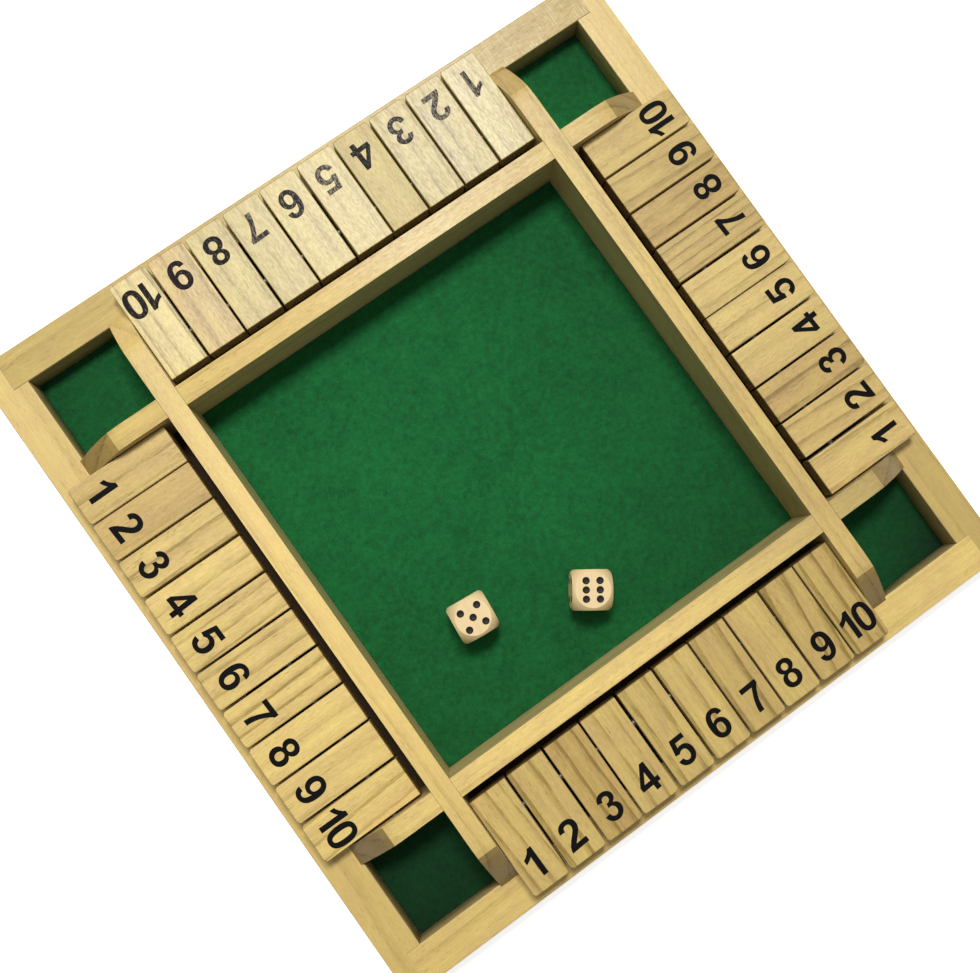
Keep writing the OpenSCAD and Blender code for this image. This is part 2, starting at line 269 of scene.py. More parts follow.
# The same for every tile, at its inner and its outer end, also partly painted shade
TILE_ENDS = (0.72, 0.6)
# How strong the grain is in the boards of the frame, and where one of them is scratched crosswise
DIVIDER_GRAIN = {"south": 1.0, "east": 1.0, "north": 0.9, "west": 0.6}
RAIL_GRAIN = {"south": 0.8, "east": 0.6, "north": 0.75, "west": 0.45}
RAIL_SCRATCHES = {"north": ((-0.09, 1.0), (-0.07, 0.0))}
# What is the same all along a piece
EVEN = ((0, 1.0),)
NO_SCRATCHES = ((0, 0.0),)
# The boards of the frame have cuts across them this far apart, where their tone can change
TONE_STEP = 15 * MM
# How much darker a side along the fibres is painted than the top, as shade, and how far a face is
# turned across the fibres where end grain starts to show on it and where it shows in full
SIDE_SHADE = 0.2
END_GRAIN_FROM = 0.12
END_GRAIN_FULL = 0.45

chance = random.Random(11)


# Shader nodes

class Wire:
    """An output of a node. Arithmetic on it adds Math nodes to the same material."""

    def __init__(self, finish, socket):
        self.finish = finish
        self.socket = socket

    def __add__(self, other):
        return self.finish.maths("ADD", self, other)

    __radd__ = __add__

    def __sub__(self, other):
        return self.finish.maths("SUBTRACT", self, other)

    def __rsub__(self, other):
        return self.finish.maths("SUBTRACT", other, self)

    def __mul__(self, other):
        return self.finish.maths("MULTIPLY", self, other)

    __rmul__ = __mul__


class Finish:
    """A node material. Every node in it is made by node()."""

    def __init__(self, name):
        self.material = bpy.data.materials.new(name)
        self.material.use_nodes = True
        self.tree = self.material.node_tree
        self.tree.nodes.clear()

    def node(self, kind, settings=None, values=None, output=0):
        made = self.tree.nodes.new(kind)
        for key, value in (settings or {}).items():
            if key == "stops":
                self.set_stops(made.color_ramp, value)
            else:
                setattr(made, key, value)
        for key, value in (values or {}).items():
            if isinstance(value, Wire):
                self.tree.links.new(value.socket, made.inputs[key])
            else:
                made.inputs[key].default_value = value
        if made.outputs:
            return Wire(self, made.outputs[output])

    @staticmethod
    def set_stops(ramp, stops):
        """Sets the greys of a ramp, which change softly from stop to stop"""
        ramp.interpolation = "EASE"
        for position, _ in stops[2:]:
            ramp.elements.new(position)
        for element, (position, grey) in zip(ramp.elements, sorted(stops)):
            element.position = position
            element.color = (grey, grey, grey, 1)

    def maths(self, operation, *values, clamp=False):
        settings = {"operation": operation, "use_clamp": clamp}
        return self.node("ShaderNodeMath", settings, dict(enumerate(values)))

    def place(self):
        """Where a point lies in its piece, in metres"""
        return self.node("ShaderNodeTexCoord", output="Object")

    def vector(self, name):
        """A vector that is stored in the mesh"""
        return self.node("ShaderNodeAttribute", {"attribute_name": name}, output="Vector")

    def number(self, name):
        """A number that is stored in the mesh"""
        return self.node("ShaderNodeAttribute", {"attribute_name": name}, output="Fac")

    def parts(self, vector):
        """The three numbers of a vector"""
        split = self.node("ShaderNodeSeparateXYZ", values={0: vector})
        return [Wire(self, socket) for socket in split.socket.node.outputs]

    def noise(self, vector, scale=1.0, detail=2.0, roughness=0.5, distortion=0.0):
        return self.node("ShaderNodeTexNoise", values={
            "Vector": vector, "Scale": scale, "Detail": detail, "Roughness": roughness,
            "Distortion": distortion,
        })

    def streaky(self, vector, scales, **look):
        """Noise that has a scale of its own in each direction"""
        settings = {"operation": "MULTIPLY"}
        stretched = self.node("ShaderNodeVectorMath", settings, {0: vector, 1: scales})
        return self.noise(stretched, **look)

    def ramp(self, value, stops):
        return self.node("ShaderNodeValToRGB", {"stops": stops}, {0: value})

    def mask(self, value, low, high):
        """0 up to low, and 1 from high on"""
        return self.ramp(value, [(low, 0.0), (high, 1.0)])

    def mix(self, share, first, second, blend="MIX"):
        """Two colours mixed. A Mix node takes colours at sockets 6 and 7 and gives one at 2"""
        settings = {"data_type": "RGBA", "blend_type": blend}
        return self.node("ShaderNodeMix", settings, {0: share, 6: first, 7: second}, output=2)

    def tinted(self, share, colour, tint):
        """A colour times a tint, as far as share says"""
        return self.mix(share, colour, tint, blend="MULTIPLY")

    def scaled(self, colour, factor):
        """A colour times a number"""
        grey = self.node("ShaderNodeCombineColor", values={0: factor, 1: factor, 2: factor})
        return self.tinted(1.0, colour, grey)

    def bump(self, height, distance, strength):
        return self.node("ShaderNodeBump", values={
            "Height": height, "Distance": distance, "Strength": strength,
        })

    def surface(self, **values):
        """Ends the material in a Principled shader with these sockets"""
        named = {key.replace("_", " "): value for key, value in values.items()}
        shader = self.node("ShaderNodeBsdfPrincipled", values=named)
        self.node("ShaderNodeOutputMaterial", values={"Surface": shader})
        return self.material


# Finishes

def pine_parts(finish):
    """Colour, relief, streaks and gloss of lacquered pine, from what Plank.write stores"""
    fibre = finish.vector("fibre")
    lightness, redness, clearness = finish.parts(finish.vector("tone"))
    end_grain = finish.number("end_grain")
    sawn = finish.number("sawn")

    # Growth rings: distance from the pith, in rings, a little wavy, faded and broken up
    _, across, depth = finish.parts(finish.vector("log"))
    radius = finish.maths("SQRT", across * across + depth * depth)
    sway = finish.streaky(fibre, (9, 35, 35), detail=1)
    ripple = finish.streaky(fibre, (40, 260, 260))
    ring = finish.maths("FRACT", radius + (sway - 0.5) * 0.55 + (ripple - 0.5) * 0.12)
    late = finish.ramp(ring, [
        (0.0, 0.6), (0.05, 0.08), (0.5, 0.05), (0.76, 0.26), (0.92, 0.75), (1.0, 1.0),
    ])
    fading = finish.ramp(finish.streaky(fibre, (22, 120, 120)), [(0.30, 0.55), (0.60, 1.0)])
    gaps = finish.streaky(fibre, (120, 900, 900), detail=3, roughness=0.6)
    late = late * fading * finish.ramp(gaps, [(0.36, 0.45), (0.58, 1.0)])
    late = finish.maths("MULTIPLY", late, clearness * 2.1 + end_grain * 0.8, clamp=True)

    # Fibres, soft mottling and the short dark resin canals
    streaks = finish.streaky(fibre, (60, 2600, 2600), detail=3, roughness=0.6)
    bands = finish.streaky(fibre, (14, 480, 480))
    flecks = finish.streaky(fibre, (420, 1500, 1500), detail=3, roughness=0.65)
    mottling = finish.streaky(fibre, (70, 130, 130), detail=3)
    dashes = finish.mask(finish.streaky(fibre, (240, 3000, 3000), detail=1), 0.64, 0.74)
    dashes = dashes * finish.mask(finish.streaky(fibre, (60, 260, 260), detail=1), 0.46, 0.60)

    colour = finish.mix(redness, (0.604, 0.467, 0.166, 1), (0.640, 0.415, 0.132, 1))
    colour = finish.tinted(finish.mask(mottling, 0.35, 0.65), colour, (0.97, 1.01, 0.92, 1))
    colour = finish.tinted(late, colour, (0.50, 0.46, 0.28, 1))
    colour = finish.tinted(dashes * (clearness * 0.6 + 0.25), colour, (0.46, 0.40, 0.28, 1))
    # Ends and sides are warmed here and darkened below: partly real end grain, partly painted shade
    colour = finish.tinted(end_grain, colour, (1.0, 0.85, 0.50, 1))
    # Painted light: faces that look sideways are tinted greener and bluer, for the grey light that the walls
    # of the well catch
    colour = finish.tinted(sawn, colour, (1.0, 1.08, 1.5, 1))
    grain = streaks * 0.36 + bands * 0.34 + flecks * 0.46 + mottling * 0.42 - 0.79
    # Lightness from the mesh carries painted light and shade as well as the board's own colour
    shade = lightness * (grain * finish.number("grain") * (1 - end_grain * 0.5) + 1)
    colour = finish.scaled(colour, shade * (1 - end_grain))

    # Scratches across the fibres, on top of a board and thickest where its mottling is light
    scratches = finish.mask(finish.streaky(fibre, (1300, 110, 110), roughness=0.6), 0.52, 0.66)
    scratches = scratches * finish.number("scratched") * (1 - sawn)
    scratches = scratches * finish.ramp(mottling, [(0.40, 0.15), (0.58, 1.0)])
    colour = finish.mix(scratches * 0.55, colour, (0.76, 0.67, 0.38, 1))

    relief = streaks * 0.8 + flecks * 0.3 - dashes * 0.5 - late * 0.2 + mottling * 0.3
    relief = relief - scratches * 0.4
    gloss = finish.ramp(flecks, [(0.34, 0.36), (0.66, 0.74)]) * finish.number("gloss")
    return colour, relief, streaks, gloss


def lacquered_pine():
    finish = Finish("lacquered_pine")
    colour, relief, streaks, gloss = pine_parts(finish)
    return finish.surface(
        Base_Color=colour,
        Roughness=streaks * 0.2 + 0.5,
        Specular_IOR_Level=0.35,
        Coat_Weight=gloss,
        Coat_Roughness=0.36,
        Normal=finish.bump(relief, 0.14 * MM, 1.0),
    )


def number_ink():
    """Black print that shows the wood where it is worn off, and turns grey where it wears, partly as painted
    sheen
    """
    finish = Finish("number_ink")
    wood, relief, streaks, _ = pine_parts(finish)
    fibre = finish.vector("fibre")
    wear = finish.number("wear")
    rubbed = finish.streaky(fibre, (700, 1700, 1700), detail=3, roughness=0.7)
    bare = finish.mask(rubbed + wear * 0.12, 0.54, 0.74) * wear
    patchy = finish.streaky(fibre, (500, 500, 500))
    black = finish.scaled((0.0028, 0.0021, 0.0022, 1), 0.7 + patchy * 0.6)
    # The black turns purple-grey as it wears: partly worn-thin ink, partly painted sheen
    black = finish.mix(wear, black, (0.022, 0.016, 0.022, 1))
    return finish.surface(
        Base_Color=finish.mix(bare * 0.55, black, wood),
        Roughness=streaks * 0.15 + 0.6,
        Coat_Weight=bare * 0.3 + wear * 0.06,
        Coat_Roughness=0.3,
        Specular_IOR_Level=0.08,
        Normal=finish.bump(relief, 0.06 * MM, 0.6),
    )


def green_felt():
    finish = Finish("green_felt")
    place = finish.place()
    nap = finish.noise(place, 2600, detail=4, roughness=0.7)
    clumps = finish.noise(place, 420, detail=3, roughness=0.6)
    patches = finish.noise(place, 110, detail=3, roughness=0.6)
    cloud = finish.noise(place, 20, detail=3)
    one_way = finish.streaky(place, (350, 2600, 900), distortion=0.6)
    other_way = finish.streaky(place, (2600, 350, 900), distortion=0.6)
    fibres = finish.mask(one_way, 0.60, 0.72) + finish.mask(other_way, 0.60, 0.72)
    settings = {"operation": "DISTANCE"}
    from_lit = finish.node("ShaderNodeVectorMath", settings, {0: place, 1: FELT_LIT}, output="Value")
    # Painted light: the felt is lighter near FELT_LIT and darker away from it, times the painted lightness
    # of its piece
    painted_light_pool = (1 - from_lit * from_lit * FELT_FADING) * finish.number("tone")
    shade = (nap * 1.7 + clumps * 1.0 + patches * 0.45 + cloud * 0.4 - 0.88) * painted_light_pool
    colour = finish.mix(fibres * 0.2, (0.0066, 0.129, 0.0285, 1), (0.016, 0.19, 0.06, 1))
    return finish.surface(
        Base_Color=finish.scaled(colour, shade),
        Roughness=0.95,
        Sheen_Weight=0.06,
        Sheen_Roughness=0.5,
        Sheen_Tint=(0.8, 0.9, 0.8, 1),
        Specular_IOR_Level=0.25,
        Normal=finish.bump(nap * 0.5 + clumps * 0.5 + fibres * 0.3, 0.3 * MM, 0.8),
    )


def drawn_steel():
    finish = Finish("drawn_steel")
    scratches = finish.streaky(finish.place(), (300, 300, 6000), detail=3)
    return finish.surface(
        Base_Color=finish.scaled((0.10, 0.09, 0.078, 1), 0.7 + scratches * 0.6),
        Metallic=1.0,
        Roughness=0.35 + scratches * 0.2,
        Normal=finish.bump(scratches, 0.01 * MM, 0.4),
    )


def base_plywood():
    finish = Finish("base_plywood")
    place = finish.place()
    fibres = finish.streaky(place, (30, 1500, 1500), detail=4, roughness=0.6)
    figure = finish.maths("FRACT", finish.streaky(place, (7, 60, 60), distortion=0.8) * 9)
    bands = finish.ramp(figure, [(0.0, 0.0), (0.7, 0.35), (0.95, 1.0), (1.0, 0.0)])
    colour = finish.mix(bands * 0.35, (0.60, 0.44, 0.22, 1), (0.42, 0.27, 0.12, 1))
    _, _, height = finish.parts(place)
    # Painted shade: the upper face is made dark brown, for the deep shade in the troughs under the tiles
    painted_shade = finish.maths("GREATER_THAN", height, PAINTED_SHADE_HEIGHT)
    colour = finish.mix(painted_shade, colour, (0.070, 0.042, 0.017, 1))
    return finish.surface(
        Base_Color=finish.scaled(colour, 0.8 + fibres * 0.4),
        Roughness=0.6 + fibres * 0.2,
        Specular_IOR_Level=0.25,
        Normal=finish.bump(fibres, 0.08 * MM, 0.6),
    )


def die_wood():
    finish = Finish("die_wood")
    fibre = finish.vector("fibre")
    streaks = finish.streaky(fibre, (60, 2600, 2600), detail=3)
    bands = finish.streaky(fibre, (25, 420, 420))
    flecks = finish.mask(finish.streaky(fibre, (500, 3200, 3200), detail=1), 0.66, 0.76)
    colour = finish.mix(bands, (0.80, 0.60, 0.30, 1), (0.88, 0.68, 0.36, 1))
    colour = finish.mix(flecks * 0.35, colour, (0.55, 0.36, 0.16, 1))
    return finish.surface(
        Base_Color=finish.scaled(colour, 0.92 + streaks * 0.16),
        Roughness=0.38 + streaks * 0.15,
        Coat_Weight=0.2,
        Coat_Roughness=0.25,
        Normal=finish.bump(streaks - flecks * 0.4, 0.03 * MM, 0.4),
    )


def pip_paint():
    finish = Finish("pip_paint")
    brushed = finish.noise(finish.place(), 900)
    return finish.surface(
        Base_Color=finish.scaled((0.007, 0.0035, 0.0025, 1), 0.6 + brushed * 0.8),
        Roughness=0.5 + brushed * 0.25,
        Specular_IOR_Level=0.3,
        Normal=finish.bump(brushed, 0.05 * MM, 0.4),
    )


# Shapes

def side_axes(side):
    """The directions along a side, from number one on, and outwards from the middle of the board"""
    turn = Matrix.Rotation(math.radians(90 * SIDES.index(side)), 3, "Z")
    return turn @ Vector((1, 0, 0)), turn @ Vector((0, -1, 0))


def node_copy(name):
    """The shape of a frame node, merged and with its flat faces whole"""
    shape = bmesh.new()
    shape.from_mesh(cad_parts[name].data)
    bmesh.ops.remove_doubles(shape, verts=shape.verts, dist=MERGED)
    bmesh.ops.dissolve_limit(shape, angle_limit=FLAT_ANGLE, verts=shape.verts, edges=shape.edges)
    return shape


def sharp_edges(shape, chosen):
    return [
        edge for edge in shape.edges
        if edge.is_manifold and edge.is_convex and edge.calc_face_angle() > SHARP_ANGLE and chosen(edge)
    ]


def ease(shape, width, segments, chosen):
    bmesh.ops.bevel(
        shape, geom=sharp_edges(shape, chosen), offset=width, offset_type="OFFSET",
        segments=segments, profile=0.5, affect="EDGES", clamp_overlap=True, material=-1,
    )


def run(edge, direction):
    """How far an edge runs in a direction, from 0 across it to 1 along it"""
    return abs((edge.verts[0].co - edge.verts[1].co).normalized().dot(direction))


def lowest(edge):
    return min(vertex.co.z for vertex in edge.verts)


def slice_at(shape, place, direction, take_off=False):
    """Cuts a shape across a direction, and where asked takes off and closes what lies beyond"""
    bmesh.ops.bisect_plane(
        shape, geom=[*shape.verts, *shape.edges, *shape.faces], plane_co=place,
        plane_no=direction, clear_outer=take_off, dist=MERGED,
    )
    if take_off:
        bmesh.ops.holes_fill(shape, edges=[edge for edge in shape.edges if edge.is_boundary], sides=0)


def cut_lengths(shape, along, length):
    """Adds cuts across a long board, so that its tone can change along it"""
    steps = int(length / 2 / TONE_STEP)
    for step in range(-steps, steps + 1):
        slice_at(shape, along * (step * TONE_STEP + TONE_STEP / 2), along)


def add_mesh(shape, mesh, place, material):
    """Adds a mesh to a shape, at a place and with one of the shape's materials"""
    verts_before = set(shape.verts)
    faces_before = set(shape.faces)
    shape.from_mesh(mesh)
    new = [vertex for vertex in shape.verts if vertex not in verts_before]
    bmesh.ops.transform(shape, matrix=place, verts=new)
    for face in shape.faces:
        if face not in faces_before:
            face.material_index = material


def level_at(levels, along):
    """The lightness, gloss or scratching at a distance along a piece, between those given"""
    for (start, level), (end, next_level) in zip(levels, levels[1:]):
        if along < end:
            share = min(max((along - start) / (end - start), 0), 1)
            return level + (next_level - level) * share
    return levels[-1][1]


class Plank:
    """How a piece was cut from its log: its fibre direction, its growth rings and its colour, whose
    lightness is partly painted light
    """

    def __init__(self, along, across, middle, line=0.0, pitch=7.5 * MM, slant=0.0, pith_angle=0.6,
                 board="straw", tones=EVEN, glosses=EVEN, clearness=0.5, end_darkness=(0.4, 0.4),
                 grain=1.0, scratches=NO_SCRATCHES):
        self.along = along
        self.across = across
        self.middle = middle
        self.pitch = pitch
        self.slant = slant
        rings = 6
        away = -1 if line < 0 else 1
        self.pith = Vector((
            abs(line) - away * rings * pitch * math.cos(pith_angle),
            -rings * pitch * math.sin(pith_angle),
        ))
        self.light, self.red, self.shine = BOARDS[board]
        self.tones = tones
        self.glosses = glosses
        self.clearness = clearness
        self.end_darkness = end_darkness
        self.grain = grain
        self.scratches = scratches
        self.start = Vector([chance.uniform(-5, 5) for _ in range(3)])

    def sideways(self, face):
        """How far a face looks sideways, across the fibres, as the sides of a board do"""
        return abs(face.normal.dot(self.across))

    def darkness(self, face):
        """How much darker a face is painted: across the fibres partly as end grain and partly as shade, and
        on a side along the fibres as shade
        """
        facing = face.normal.dot(self.along)
        cut = (abs(facing) - END_GRAIN_FROM) / (END_GRAIN_FULL - END_GRAIN_FROM)
        end = min(max(cut, 0), 1) * self.end_darkness[0 if facing < 0 else 1]
        return max(end, SIDE_SHADE * self.sideways(face))

    def write(self, mesh, wear=0.0):
        """Stores the cut in the mesh, for the pine material to read"""
        fibres = []
        rings = []
        tones = []
        glosses = []
        scratches = []
        for vertex in mesh.vertices:
            place = vertex.co - self.middle
            along, across = place.dot(self.along), place.dot(self.across)
            fibres.append(Vector((along, across, place.z)) + self.start)
            from_pith = Vector((along, across - self.pith.x - self.slant * along, place.z - self.pith.y))
            rings.append(from_pith / self.pitch)
            # The lightness stored here is partly the board's own colour and partly painted light and shade
            tones.append((self.light * level_at(self.tones, along), self.red, self.clearness))
            glosses.append([self.shine * level_at(self.glosses, along)])
            scratches.append([level_at(self.scratches, along)])
        store(mesh, "fibre", "POINT", fibres)
        store(mesh, "log", "POINT", rings)
        store(mesh, "tone", "POINT", tones)
        store(mesh, "gloss", "POINT", glosses)
        store(mesh, "scratched", "POINT", scratches)
        store(mesh, "grain", "POINT", [[self.grain]] * len(fibres))
        store(mesh, "wear", "POINT", [[wear]] * len(fibres))
        store(mesh, "end_grain", "FACE", [[self.darkness(face)] for face in mesh.polygons])
        store(mesh, "sawn", "FACE", [[self.sideways(face)] for face in mesh.polygons])


def store(mesh, name, domain, rows):
    """Keeps one number or three for each point or face, as an attribute that materials can read"""
    is_vector = len(rows[0]) == 3
    made = mesh.attributes.new(name, "FLOAT_VECTOR" if is_vector else "FLOAT", domain)
    numbers = [number for row in rows for number in row]
    made.data.foreach_set("vector" if is_vector else "value", numbers)


def mesh_from(name, shape, materials=()):
    """Ends a shape in a mesh with these materials"""
    mesh = bpy.data.meshes.new(name)
    shape.to_mesh(mesh)
    shape.free()
    for material in materials:
        mesh.materials.append(material)
    return mesh


def put_in_scene(name, data):
    made = bpy.data.objects.new(name, data)
    bpy.context.scene.collection.objects.link(made)
    return made


def evaluated_mesh(source):
    """The mesh that an object comes to, with its curve filled or its modifiers done"""
    bpy.context.view_layer.update()
    depsgraph = bpy.context.evaluated_depsgraph_get()
    return bpy.data.meshes.new_from_object(source.evaluated_get(depsgraph))


def piece(name, shape, materials, body, stands_for):
    """Makes a shape into an object that moves with a body and replaces a frame node"""
    mesh = mesh_from(name, shape, materials)
    mesh.polygons.foreach_set("use_smooth", [True] * len(mesh.polygons))
    mesh.set_sharp_from_angle(angle=SMOOTH_ANGLE)
    made = put_in_scene(name, mesh)
    normals = made.modifiers.new("face_normals", "WEIGHTED_NORMAL")
    normals.keep_sharp = True
    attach(made, body)
    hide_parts(stands_for)
    return made


# Numbers

def outlines(drawing):
    """Reads a digit's drawing into closed outlines of (point, control point before, after)"""
    steps = drawing.replace("Z", " Z").split()
    numbers = []
    loops = []
    command = None
    for step in steps:
        if step[0].isalpha():
            command, step = step[0], step[1:]
            numbers = []
            if command == "Z":
                continue
        numbers.append(float(step))
        if len(numbers) < {"M": 2, "L": 2, "H": 1, "V": 1, "Q": 4}[command]:
            continue
        if command == "M":
            loops.append([[Vector(numbers), None, None]])
            numbers = []
            continue
        last = loops[-1][-1]
        if command == "H":
            end = Vector((numbers[0], last[0].y))
        elif command == "V":
            end = Vector((last[0].x, numbers[0]))
        else:
            end = Vector(numbers[-2:])
        control = Vector(numbers[:2]) if command == "Q" else (last[0] + end) / 2
        last[2] = last[0].lerp(control, 2 / 3)
        loops[-1].append([end, end.lerp(control, 2 / 3), None])
        numbers = []
    return loops


def digit_loops(digit):
    if digit != "9":
        return outlines(DIGITS[digit])
    centre = Vector(NINE_CENTRE)
    return [
        [[2 * centre - point if point else None for point in knot] for knot in loop]
        for loop in outlines(DIGITS["6"])
    ]


def digit_mesh(digit):
    """A digit as a thin solid, DIGIT_UNITS tall, made by filling its outlines"""
    curve = bpy.data.curves.new("digit_outline", "CURVE")
    curve.dimensions = "2D"
    curve.fill_mode = "BOTH"
    curve.resolution_u = CURVE_STEPS
    curve.extrude = INK_THICKNESS / 2 * DIGIT_UNITS / DIGIT_HEIGHT
    for loop in digit_loops(digit):
        knots = loop[:-1] if (loop[0][0] - loop[-1][0]).length < DIGIT_MERGED else loop
        spline = curve.splines.new("BEZIER")
        spline.use_cyclic_u = True
        spline.bezier_points.add(len(knots) - 1)
        for index, (point, (here, before, after)) in enumerate(zip(spline.bezier_points, knots)):
            following = knots[(index + 1) % len(knots)][0]
            earlier = knots[index - 1][0]
            if index == 0:
                before = loop[-1][1] if knots is not loop else None
            point.co = here.to_3d()
            point.handle_left_type = point.handle_right_type = "FREE"
            point.handle_left = (before or here.lerp(earlier, 1 / 3)).to_3d()
            point.handle_right = (after or here.lerp(following, 1 / 3)).to_3d()
    holder = put_in_scene("digit_outline", curve)
    made = evaluated_mesh(holder)
    bpy.data.objects.remove(holder)
    shape = bmesh.new()
    shape.from_mesh(made)
    bmesh.ops.remove_doubles(shape, verts=shape.verts, dist=DIGIT_MERGED)
    shape.to_mesh(made)
    shape.free()
    return made


DIGIT_MESHES = {digit: digit_mesh(digit) for digit in "0123456789"}


def add_number(shape, number, middle, along, outward):
    """Prints a number on a tile, around a point of the tile's top"""
    digits = [("1", 0), ("0", TEN_ZERO_SHIFT)] if number == 10 else [(str(number), 0)]
    width = digits[-1][1] + DIGIT_SPACE
    right, down, turn = PRINT_PLACES[number - 1]
    scatter = chance.uniform(-PRINT_SCATTER, PRINT_SCATTER)
    shift = along * (right * MM + scatter) + outward * down * MM
    axes = Matrix((along, -outward, UP)).transposed().to_4x4()
    to_tile = (
        Matrix.Translation(middle + shift) @ axes @ Matrix.Rotation(math.radians(turn), 4, "Z")
        @ Matrix.Scale(DIGIT_HEIGHT / DIGIT_UNITS, 4)
        @ Matrix.Translation((-width / 2, -DIGIT_UNITS / 2, 0))
    )
    for digit, offset in digits:
        place = to_tile @ Matrix.Translation((offset, 0, 0))
        add_mesh(shape, DIGIT_MESHES[digit], place, PAINTED)


# Wooden pieces

def away_from_rod(side):
    """Tells whether an edge of a tile isn't one of its bore's"""
    _, outward = side_axes(side)
    low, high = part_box("rod_" + side)
    middle = (low + high) / 2
    reach = (high - low).z

    def away(edge):
        return any(
            abs((vertex.co - middle).dot(outward)) > reach or abs(vertex.co.z - middle.z) > reach
            for vertex in edge.verts
        )

    return away


def make_tile(side, number):
    name = f"tile_{side}_{number:02d}"
    along, outward = side_axes(side)
    low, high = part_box(name)
    middle = (low + high) / 2
    width = abs((high - low).dot(along))
    length = abs((high - low).dot(outward))
    shape = node_copy(name)
    ease(shape, EXPOSED_EASE, EASE_STEPS, away_from_rod(side))
    print_middle = middle + outward * (length / 2 - DIGIT_FROM_END)
    print_middle.z = high.z + INK_ABOVE - INK_THICKNESS / 2
    add_number(shape, number, print_middle, along, outward)
    board, line, clearness, spacing, slant = TILE_CUTS[side][number - 1]
    pith_angle = chance.uniform(0.3, 0.9)
    plank = Plank(
        outward, along, Vector((*(middle - along * width / 2).xy, high.z)),
        line=line * width, pitch=spacing * width * math.cos(pith_angle),
        slant=slant + chance.uniform(-0.01, 0.01), pith_angle=pith_angle, board=board,
        tones=((0, level_at(TILE_TONE_AND_LIGHT[side], middle.dot(along))),),
        glosses=((0, level_at(TILE_GLOSSES[side], middle.dot(along))),), clearness=clearness,
        end_darkness=TILE_ENDS,
    )
    made = piece(f"{name}_wood", shape, (pine, ink), name, name)
    plank.write(made.data, NORTH_WEAR_AND_SHEEN[number - 1] if side == "north" else 0.0)


def finish_board(name, side, shape, line, pitch, slant, **looks):
    """Puts a board of the frame in its place, cut from its log by chance within these bounds"""
    along, outward = side_axes(side)
    low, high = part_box(name)
    cut_lengths(shape, along, abs((high - low).dot(along)))
    made = piece(f"{name}_wood", shape, (pine,), "board", name)
    plank = Plank(
        along, outward, Vector((*((low + high) / 2).xy, high.z)),
        line=chance.uniform(-line, line), pitch=chance.uniform(*pitch),
        slant=chance.uniform(-slant, slant), pith_angle=chance.uniform(0.2, 1.2),
        board="frame", **looks,
    )
    plank.write(made.data)


def make_divider(side):
    name = "divider_" + side
    _, outward = side_axes(side)
    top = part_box(name)[1].z
    rail_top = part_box("rail_" + side)[1].z
    shape = node_copy(name)

    def exposed(edge):
        level = run(edge, outward) < ACROSS and run(edge, UP) < ALONG
        return level and lowest(edge) > rail_top + ABOVE_RAILS

    def at_joint(edge):
        return run(edge, outward) > ALONG and lowest(edge) > top - NEAR_TOP

    ease(shape, EXPOSED_EASE, EASE_STEPS, exposed)
    ease(shape, JOINT_EASE, 1, at_joint)
    finish_board(
        name, side, shape, line=4 * MM, pitch=(5 * MM, 8 * MM), slant=0.015,
        tones=DIVIDER_TONE_AND_LIGHT[side], glosses=DIVIDER_GLOSSES[side], clearness=0.25,
        end_darkness=DIVIDER_ENDS[side], grain=DIVIDER_GRAIN[side],
    )


def make_rail(side):
    name = "rail_" + side
    along, _ = side_axes(side)
    low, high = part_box(name)
    half_board = CAD_BOX[1].x
    shape = node_copy(name)

    def on_outside(vertex):
        return max(abs(vertex.co.x), abs(vertex.co.y)) > half_board - TOUCHING

    def at_corner(vertex):
        return min(abs(vertex.co.x), abs(vertex.co.y)) > half_board - TOUCHING

    def at_joint(edge):
        return lowest(edge) > high.z - TOUCHING

    def exposed(edge):
        if all(on_outside(vertex) for vertex in edge.verts):
            return run(edge, UP) < ALONG or all(at_corner(vertex) for vertex in edge.verts)
        return at_joint(edge) and run(edge, along) > ALONG and edge.calc_length() > (high - low).z

    ease(shape, EXPOSED_EASE, EASE_STEPS, exposed)
    ease(shape, JOINT_EASE, 1, at_joint)
    finish_board(
        name, side, shape, line=6 * MM, pitch=(6 * MM, 9 * MM), slant=0.02,
        tones=RAIL_TONE_AND_LIGHT[side], glosses=RAIL_GLOSSES[side], clearness=0.2,
        grain=RAIL_GRAIN[side], scratches=RAIL_SCRATCHES.get(side, NO_SCRATCHES),
    )


# Dice

def pip_places(value):
    pairs = [(-1, -1), (1, 1)] if value in (2, 3, 4, 5) else []
    pairs += [(-1, 1), (1, -1)] if value in (4, 5) else []
    places = [(x * PIP_SPREAD, y * PIP_SPREAD) for x, y in pairs]
    if value % 2:
        places.append((0, 0))
    if value == 6:
        places += [(x * SIX_SPREAD, y * PIP_SPREAD) for x in (-1, 1) for y in (-1, 0, 1)]
    return places


def round_cube(half):
    """A ball with six flat faces, and eased edges between them"""
    shape = bmesh.new()
    bmesh.ops.create_icosphere(shape, subdivisions=5, radius=DIE_ROUND / 2)
    for axis in (Vector((1, 0, 0)), Vector((0, 1, 0)), UP):
        for way in (axis, -axis):
            slice_at(shape, way * half, way, take_off=True)
    ease(shape, DIE_EASE, 4, lambda edge: True)
    return shape


def pip_cap():
    """The lower cap of a ball, closed on top"""
    shape = bmesh.new()
    bmesh.ops.create_uvsphere(shape, u_segments=40, v_segments=48, radius=PIP_BALL)
    slice_at(shape, UP * (CAP_DEPTH - PIP_BALL), UP, take_off=True)
    return mesh_from("pip_cap", shape)


